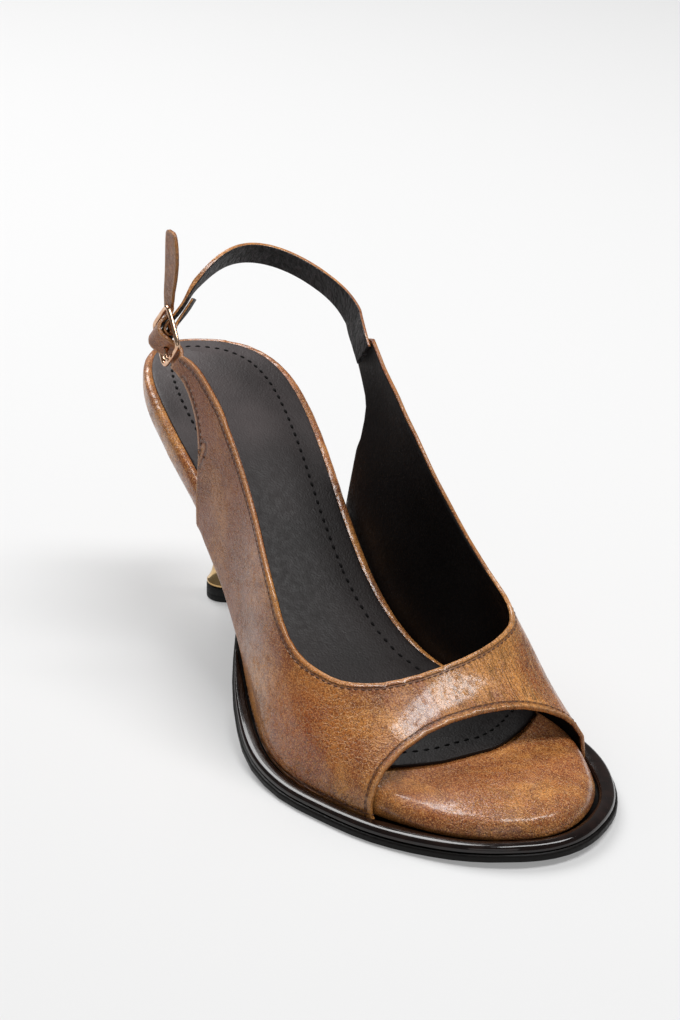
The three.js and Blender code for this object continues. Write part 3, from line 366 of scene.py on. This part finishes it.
def tan_leather(name, glow=None, creases=None, edges=False):
    """Tan leather under a thick clear finish that has crazed, brushed darker in clouds."""
    made = Finish(name)
    cloud = made.clouds(30, 4, 0.6, distortion=0.6)
    patch = made.clouds(85, 5, 0.7, distortion=0.8)
    speck = made.clouds(2300, 3, 0.8)
    dust = made.clouds(700, 4, 0.75)
    colour = made.blend(made.between(cloud, 0.42, 0.6), paint("#985227"), paint("#d18a42"))
    colour = made.blend(made.between(patch, 0.46, 0.64) * 0.7, colour, paint("#743a1b"))
    if glow is not None:
        colour = made.blend(glow(made) * 0.75, colour, paint("#a84a0f"))
    colour = made.blend(made.between(dust, 0.5, 0.66) * 0.4, colour, paint("#54290f"))
    colour = made.blend(made.between(speck, 0.5, 0.6) * 0.75, colour, paint("#4a2412"))
    colour = made.blend(made.between(speck, 0.48, 0.38) * 0.7, colour, paint("#dba566"))
    drift = made.node(
        "ShaderNodeTexNoise",
        {},
        {"Vector": made.place(), "Scale": 240.0, "Detail": 3.0},
        output=1,
    )
    bent = made.node(
        "ShaderNodeVectorMath",
        {"operation": "MULTIPLY_ADD"},
        {0: drift, 1: (0.004, 0.004, 0.004), 2: made.place()},
    )
    fine_line = made.between(made.cells(620, "DISTANCE_TO_EDGE", bent), 0.11, 0.0)
    coarse_line = made.between(made.cells(250, "DISTANCE_TO_EDGE", bent), 0.06, 0.0)
    crazed = made.between(made.clouds(45, 3, 0.6), 0.38, 0.6)
    lines = fine_line * crazed * 0.8 + coarse_line * 0.35
    colour = made.blend(lines * 0.3, colour, paint("#cf9a5d"))
    crumple = made.clouds(330, 5, 0.7)
    height = lines * -1.0 + crumple * 1.2 + speck * 0.25
    if creases is not None:
        folds = creases(made)
        height = height - folds * 1.6
        colour = made.blend(folds * 0.45, colour, paint("#c99257"))
    calm = 1.0
    if edges:
        rim = made.held("edge_reach")
        seam = made.held("seam_reach")
        # Painted shade: the quarters are painted darker and made duller towards the heel, set by
        # place.
        length = made.node(
            "ShaderNodeSeparateXYZ", {}, {"Vector": made.place()}, output=0
        )
        colour = made.blend(
            made.between(length, 0.135, 0.06) * 0.5, colour, paint("#6f3210")
        )
        calm = made.between(length, 0.06, 0.135) * 0.75 + 0.25
        groove = made.between(seam, 0.0012, 0.0017) * made.between(seam, 0.0026, 0.002)
        folded = made.between(rim, 0.0011, 0.0005)
        # The folded edges are painted lighter: partly the fold's own paler tone, partly a painted
        # highlight on the rolled edge.
        colour = made.blend(folded * 0.5, colour, paint("#c08852"))
        # The seam's groove is painted darker: partly the pressed leather's own tone, partly
        # painted shade in the groove.
        colour = made.blend(groove * 0.55, colour, paint("#45220f"))
        height = height * (1 - groove) - groove * 2.2
    gloss = made.between(made.clouds(55, 3, 0.55), 0.35, 0.7)
    made.surface(
        Base_Color=colour,
        Roughness=gloss * 0.1 + 0.3 + lines * 0.08,
        Coat_Weight=made.maths(
            "MAXIMUM", (made.between(crumple, 0.7, 0.42) * 0.75 - lines * 0.4) * calm, 0.0
        ),
        Coat_Roughness=0.12,
        Specular_IOR_Level=0.38,
        Normal=made.relief(height, 0.0002),
    )
    return made


def remeshed(piece, size, smoothing):
    """Even small faces all over, for a form that is then pressed."""
    choose(piece)
    made = piece.modifiers.new("even", "REMESH")
    made.mode, made.voxel_size = "VOXEL", size
    made.use_smooth_shade = True
    bpy.ops.object.modifier_apply(modifier=made.name)
    made = piece.modifiers.new("eased", "SMOOTH")
    made.factor, made.iterations = 0.5, smoothing
    bpy.ops.object.modifier_apply(modifier=made.name)


def ease(value, low, high):
    share = min(max((value - low) / (high - low), 0), 1)
    return share * share * (3 - 2 * share)


footbed = taken_from("footbed", "footbed_cover", sharp=70, crisp=0.5)
remeshed(footbed, 0.0011, 5)
sides = [v.co.copy() for v in footbed.data.vertices if abs(v.normal.z) < 0.3 and v.co.x > 0.13]
side_tree = KDTree(len(sides))
for i, point in enumerate(sides):
    side_tree.insert((point.x, point.y, 0), i)
side_tree.balance()
for vertex in footbed.data.vertices:
    # The foam under the toe pad is skived, so the cover rolls down to its edge.
    at = vertex.co
    if at.x > 0.155 and at.z > 0.005:
        reach = side_tree.find((at.x, at.y, 0))[2]
        roll = max(0, 1 - reach / 0.017) ** 2
        at.z -= 0.0027 * roll * ease(at.x, 0.158, 0.182) * ease(at.z, 0.0045, 0.0105)
cover = tan_leather("footbed_leather")
fitted(footbed, "footbed", "tan_leather", cover.material)

# Insole. A black sock of thin sheepskin over a foam pad, stuck in the footbed's recess.
# It is stitched all round in black thread, which pulls a dimple at each stitch.

def edge_faces(piece, sharp):
    """Pairs of faces that meet at an edge, with how sharply they meet."""
    owners = {}
    for face in piece.data.polygons:
        for key in face.edge_keys:
            owners.setdefault(key, []).append(face)
    turn = math.cos(math.radians(sharp))
    return {
        key: faces
        for key, faces in owners.items()
        if len(faces) == 2 and faces[0].normal.dot(faces[1].normal) < turn
    }


def seam_points(piece, edges, inset):
    """The line that runs beside those edges, inset metres in on the outer face."""
    corners = piece.data.vertices
    beside = {}
    for key, face in edges.items():
        a, b = (corners[i].co for i in key)
        along = (b - a).normalized()
        inward = face.normal.cross(along)
        if inward.dot(face.center - a) < 0:
            inward.negate()
        for i in key:
            beside.setdefault(i, []).append(inward)
    joined = {}
    for a, b in edges:
        joined.setdefault(a, []).append(b)
        joined.setdefault(b, []).append(a)
    chains, used = [], set()
    for start in sorted(joined, key=lambda i: len(joined[i])):
        if start in used:
            continue
        chain = [start]
        used.add(start)
        while True:
            onward = [i for i in joined[chain[-1]] if i not in used]
            if not onward:
                break
            chain.append(onward[0])
            used.add(onward[0])
        if joined[chain[-1]].count(chain[0]) and len(chain) > 3:
            chain.append(chain[0])
        chains.append(chain)
    return [
        [corners[i].co + sum(beside[i], Vector()).normalized() * inset for i in chain]
        for chain in chains
        if len(chain) > 1
    ]


def stitched(name, piece, lines, pitch, length, width, sunk):
    """Thread laid on the piece along those lines, one stitch to each pitch."""
    surface = BVHTree.FromObject(piece, bpy.context.evaluated_depsgraph_get())
    bpy.ops.object.select_all(action="DESELECT")
    bpy.ops.mesh.primitive_uv_sphere_add(segments=8, ring_count=5, radius=0.5)
    model = bpy.context.active_object
    shape = [v.co.copy() for v in model.data.vertices]
    skins = [tuple(f.vertices) for f in model.data.polygons]
    bpy.data.objects.remove(model)
    points, faces = [], []
    for line in lines:
        gone = 0.0
        for a, b in zip(line, line[1:]):
            span = (b - a).length
            while gone < span:
                at, normal, _, _ = surface.find_nearest(a.lerp(b, gone / span))
                along = (b - a).normalized()
                across = normal.cross(along).normalized()
                start = len(points)
                points += [
                    at
                    + along * (v.x * length)
                    + across * (v.y * width)
                    + normal * (v.z * width * 0.9 - sunk)
                    for v in shape
                ]
                faces += [tuple(start + i for i in face) for face in skins]
                gone += pitch
            gone -= span
    mesh = bpy.data.meshes.new(name)
    mesh.from_pydata(points, [], faces)
    thread = bpy.data.objects.new(name, mesh)
    bpy.context.scene.collection.objects.link(thread)
    choose(thread)
    bpy.ops.object.shade_smooth()
    return thread


insole = taken_from("insole", "sock", sharp=50, crisp=0.7, levels=0)
rim = {
    key: max(faces, key=lambda f: f.normal.z)
    for key, faces in edge_faces(insole, 30).items()
    if max(f.normal.z for f in faces) > 0.6
}
perimeter = [line for line in seam_points(insole, rim, inset=0.0078) if len(line) > 20]
rounded(insole, 2)
sock_skin = Finish("sock_leather")
grain = sock_skin.cells(1500, "F1")
wrinkle = sock_skin.clouds(420, 4, 0.6)
worn = sock_skin.clouds(26, 3)
height_up = sock_skin.node(
    "ShaderNodeSeparateXYZ", {}, {"Vector": sock_skin.place()}, output=2
)
# Painted shade: the sock is painted darker low down towards the toe, where the vamp shades it,
# and lighter up on the heel seat.
sock_painted_shade = sock_skin.between(height_up, 0.035, 0.08)
skin_dark = sock_skin.blend(sock_painted_shade, paint("#120d0c"), paint("#2a2424"))
skin_pale = sock_skin.blend(sock_painted_shade, paint("#1d1615"), paint("#433b3b"))
fitted(
    insole,
    "insole",
    "sock",
    sock_skin.surface(
        Base_Color=sock_skin.blend(
            sock_skin.between(worn, 0.35, 0.7), skin_dark, skin_pale
        ),
        Roughness=sock_skin.between(wrinkle, 0.3, 0.7) * 0.12 + 0.44,
        Normal=sock_skin.relief(grain * 0.6 + wrinkle * 0.6, 0.00012),
        Specular_IOR_Level=0.24,
    ),
)
sock_thread = stitched(
    "sock_stitches", insole, perimeter, pitch=0.0035, length=0.0021, width=0.0011, sunk=0.0001
)
black_thread = Finish("black_thread")
twist = black_thread.clouds(2600, 2)
fitted(
    sock_thread,
    None,
    "sock",
    black_thread.surface(
        Base_Color=black_thread.blend(
            black_thread.between(twist, 0.4, 0.6), paint("#070606"), paint("#131111")
        ),
        Roughness=black_thread.between(twist, 0.4, 0.6) * 0.1 + 0.7,
        Specular_IOR_Level=0.1,
    ),
)

# Upper. Vamp and both quarters cut in one from tan leather, lined in black and lasted under.
# Its top line and toe line are folded over and stitched 2 mm in.

upper = taken_from("upper", "upper_leather", sharp=55, crisp=0.75, levels=0)
strap_out = Vector((-0.079, -0.993, 0.083))


def last_middle(x):
    """The middle of the foot over the footbed, at a distance along it."""
    share = min(max((x - 0.02) / 0.12, 0), 1)
    return Vector((x, -0.011 + 0.005 * share, 0.085 - 0.07 * share))


def faces_in(face):
    """True where a face of the upper looks at the foot."""
    centre, normal = face.center, face.normal
    if centre.y < 0 and centre.z > 0.088:
        return normal.dot(strap_out) < -0.3
    return normal.dot((last_middle(centre.x) - centre).normalized()) > 0.25


lining = Finish("black_lining")
lining_grain = lining.clouds(900, 3, 0.6)
lining_folds = lining.clouds(60, 3)
lining.surface(
    Base_Color=lining.blend(
        lining.between(lining_folds, 0.3, 0.7), paint("#0c0909"), paint("#151111")
    ),
    Roughness=lining.between(lining_grain, 0.3, 0.7) * 0.1 + 0.42,
    Normal=lining.relief(lining_grain * 0.5 + lining_folds * 2.0, 0.0002),
    Specular_IOR_Level=0.4,
)


def vamp_creases(made):
    """Fine creases fanned over the vamp's crown, from the throat to the toe line."""
    fan = made.clouds(1.0, 3, 0.6, made.stretched(70, 520, 70), distortion=0.5)
    ridge = made.between(made.maths("ABSOLUTE", fan - 0.5), 0.035, 0.0)
    crown = made.node(
        "ShaderNodeVectorMath",
        {"operation": "DISTANCE"},
        {0: made.place(), 1: (0.147, 0.012, 0.033)},
        output="Value",
    )
    tail = made.node(
        "ShaderNodeVectorMath",
        {"operation": "DISTANCE"},
        {0: made.place(), 1: (0.016, -0.026, 0.126)},
        output="Value",
    )
    bunched = made.clouds(1.0, 3, 0.6, made.stretched(420, 420, 260), distortion=0.8)
    wrinkle = made.between(made.maths("ABSOLUTE", bunched - 0.5), 0.06, 0.0)
    return ridge * made.between(crown, 0.034, 0.012) + wrinkle * made.between(tail, 0.023, 0.014)


def low_glow(made):
    """The rusty patch, low on the outer side of the vamp."""
    spot = made.node(
        "ShaderNodeVectorMath",
        {"operation": "DISTANCE"},
        {0: made.place(), 1: (0.135, -0.052, 0.022)},
        output="Value",
    )
    return made.between(spot, 0.03, 0.006)


upper_skin = tan_leather("upper_leather", low_glow, vamp_creases, edges=True)
upper.data.materials.append(upper_skin.material)
upper.data.materials.append(lining.material)
corners = edge_faces(upper, 50)
sharp_sides = {}
for pair in corners.values():
    for face in pair:
        sharp_sides[face.index] = sharp_sides.get(face.index, 0) + 1


def narrow(face):
    """True for the faces that close the wall between leather and lining."""
    around = [upper.data.vertices[i].co for i in face.vertices]
    shortest = min((a - b).length for a, b in zip(around, around[1:] + around[:1]))
    return shortest < 0.0021 and sharp_sides.get(face.index, 0) > 1


folded = {face.index for face in upper.data.polygons if narrow(face)}
for face in upper.data.polygons:
    face.material_index = 1 if faces_in(face) and face.index not in folded else 0
inside = {face.index for face in upper.data.polygons if face.material_index == 1}
top_edges = {}
for key, pair in corners.items():
    outer = [f for f in pair if f.index not in folded | inside]
    if len(outer) == 1 and any(f.index in folded for f in pair):
        top_edges[key] = outer[0]
sewn = {
    key: face
    for key, face in top_edges.items()
    if face.normal.z > -0.3
    and not (face.center.x < 0.03 and face.center.z > 0.085)
    and not (face.center.x < 0.06 and face.center.z < 0.074 and face.center.y < 0)
}


def marked(edges):
    """A tree of points along those edges, to measure from."""
    tree = KDTree(len(edges) * 9)
    for key in edges:
        a, b = (upper.data.vertices[i].co for i in key)
        for i in range(9):
            tree.insert(a.lerp(b, i / 8), i)
    tree.balance()
    return tree


trees = {"edge_reach": marked(top_edges), "seam_reach": marked(sewn)}
top_seams = [line for line in seam_points(upper, sewn, inset=0.0021) if len(line) > 4]
rounded(upper, 2)
for name, tree in trees.items():
    reach = upper.data.attributes.new(name, "FLOAT", "POINT")
    for i, vertex in enumerate(upper.data.vertices):
        reach.data[i].value = tree.find(vertex.co)[2]
fitted(upper, "upper", "tan_leather")
top_thread = stitched(
    "top_line_stitches", upper, top_seams, pitch=0.0021, length=0.0015, width=0.0005, sunk=0.00005
)
brown_thread = Finish("brown_thread")
ply = brown_thread.clouds(2600, 2)
fitted(
    top_thread,
    None,
    "tan_leather",
    brown_thread.surface(
        Base_Color=brown_thread.blend(
            brown_thread.between(ply, 0.4, 0.6), paint("#3f2111"), paint("#5d351b")
        ),
        Roughness=brown_thread.between(ply, 0.4, 0.6) * 0.1 + 0.45,
    ),
)

# Sling strap. Narrow leather outside and gathered black elastic inside, sewn at both edges.
# It runs from the inner quarter round the heel to the buckle's middle bar and folds back.

sling = taken_from("sling_strap", "heel_strap", sharp=50, crisp=0.8, levels=0)
strap_skin = tan_leather("strap_leather")
elastic = Finish("gathered_elastic")
pleats = elastic.clouds(1.0, 3, 0.6, elastic.stretched(560, 560, 260), distortion=1.0)
# Painted highlight and shade: the elastic is painted lighter on the crests of its pleats and
# darker in their hollows.
elastic.surface(
    Base_Color=elastic.blend(
        elastic.between(pleats, 0.42, 0.62), paint("#0b0909"), paint("#302b2d")
    ),
    Roughness=0.55,
    Normal=elastic.relief(pleats, 0.0016),
)
loop_middle = Vector((0.045, -0.002, 0.12))
beside = [[] for _ in sling.data.vertices]
for edge in sling.data.edges:
    a, b = (sling.data.vertices[i] for i in edge.vertices)
    run = Vector((a.co.y - loop_middle.y, loop_middle.x - a.co.x, 0)).normalized()
    if abs((b.co - a.co).normalized().dot(run)) > 0.6:
        beside[a.index].append(b.index)
        beside[b.index].append(a.index)
for _ in range(6):
    # The strap hangs in one even curve, without a kink at any section.
    places = [v.co.copy() for v in sling.data.vertices]
    for vertex in sling.data.vertices:
        near = beside[vertex.index]
        if len(near) == 2 and vertex.co.y > -0.018 and vertex.co.x < 0.041:
            vertex.co = places[vertex.index] * 0.5 + (places[near[0]] + places[near[1]]) * 0.25
sling.data.materials.append(strap_skin.material)
sling.data.materials.append(elastic.material)
for face in sling.data.polygons:
    inward = (loop_middle - face.center).normalized()
    black = face.normal.dot(inward) > 0.5 or face.normal.z < -0.45
    if face.center.y < -0.012:
        black = face.normal.y > 0.2 or (face.normal.z < -0.6 and face.normal.y > -0.2)
    face.material_index = 1 if black or face.normal.x > 0.85 else 0
rounded(sling, 2)
fitted(sling, "sling_strap", "tan_leather")

# Buckle. A frame bent from wire and brazed to its middle bar, plated rose gold.
# The prong is wire too, and lies through the tail's hole on the lower bar.

frame_wire = taken_from("buckle_frame", "buckle_wire", sharp=80, crisp=0.2, levels=1)
prong_wire = taken_from("buckle_prong", "buckle_tongue", sharp=80, crisp=0.5, levels=2)
rose_gold = Finish("rose_gold")
polish = rose_gold.clouds(500, 3)
rose_gold.surface(
    Base_Color=rose_gold.blend(
        rose_gold.between(polish, 0.35, 0.65), paint("#e6c3a6"), paint("#d6a988")
    ),
    Metallic=1.0,
    Roughness=rose_gold.between(polish, 0.3, 0.7) * 0.08 + 0.12,
    Normal=rose_gold.relief(polish, 0.000008),
)
fitted(frame_wire, "buckle_frame", "rose_gold", rose_gold.material)
fitted(prong_wire, "buckle_prong", "rose_gold", rose_gold.material)

# Studio. A pale sheet that glows faintly, a long soft light overhead, a broad one behind
# the heel and a weak fill. The camera stands where the photograph was taken from.

bpy.ops.object.select_all(action="DESELECT")
bpy.ops.mesh.primitive_plane_add(size=30, location=(0, 0, 0))
floor = bpy.context.active_object
floor.name = "studio_floor"
paper = Finish("pale_paper")
floor.data.materials.append(
    paper.surface(
        Base_Color=paper.blend(
            paper.clouds(3, 2) * 0.3, paint("#b4b4b4"), paint("#b1b1b1")
        ),
        Emission_Color=(1.0, 1.0, 1.0, 1.0),
        Emission_Strength=0.26,
        Roughness=0.9,
        Specular_IOR_Level=0.1,
    )
)


picture_right = Vector((0.508, 0.861, 0))


def softbox(name, place, aim, width, depth, power):
    """A soft light whose width lies along the picture."""
    bpy.ops.object.light_add(type="AREA", location=place)
    lamp = bpy.context.active_object
    lamp.name = name
    lamp.data.shape = "RECTANGLE"
    lamp.data.size, lamp.data.size_y = width, depth
    lamp.data.energy = power
    back = (Vector(place) - Vector(aim)).normalized()
    right = (picture_right - back * back.dot(picture_right)).normalized()
    lamp.rotation_euler = Matrix((right, back.cross(right), back)).transposed().to_euler()


softbox("overhead_light", (0.4, 0.38, 1.45), (0.14, 0, 0.03), 1.1, 0.42, 18)
softbox("back_light", (-1.1, 0.0, 1.4), (0.1, 0, 0.03), 1.1, 1.0, 30)
softbox("front_fill", (1.3, -0.9, 0.7), (0.1, 0, 0.05), 0.9, 0.9, 2)

world = bpy.data.worlds.new("studio_air")
bpy.context.scene.world = world
world.use_nodes = True
world.node_tree.nodes["Background"].inputs["Color"].default_value = (1, 1, 1, 1)
world.node_tree.nodes["Background"].inputs["Strength"].default_value = 0.14

bpy.ops.object.camera_add(
    location=(0.7245, -0.3806, 0.3863),
    rotation=(math.radians(66.59), 0, math.radians(59.49)),
)
camera = bpy.context.active_object
camera.data.sensor_fit = "VERTICAL"
camera.data.sensor_height = 36
camera.data.sensor_width = 36
camera.data.lens = 90.62
bpy.context.scene.camera = camera
bpy.context.scene.view_settings.view_transform = "Standard"
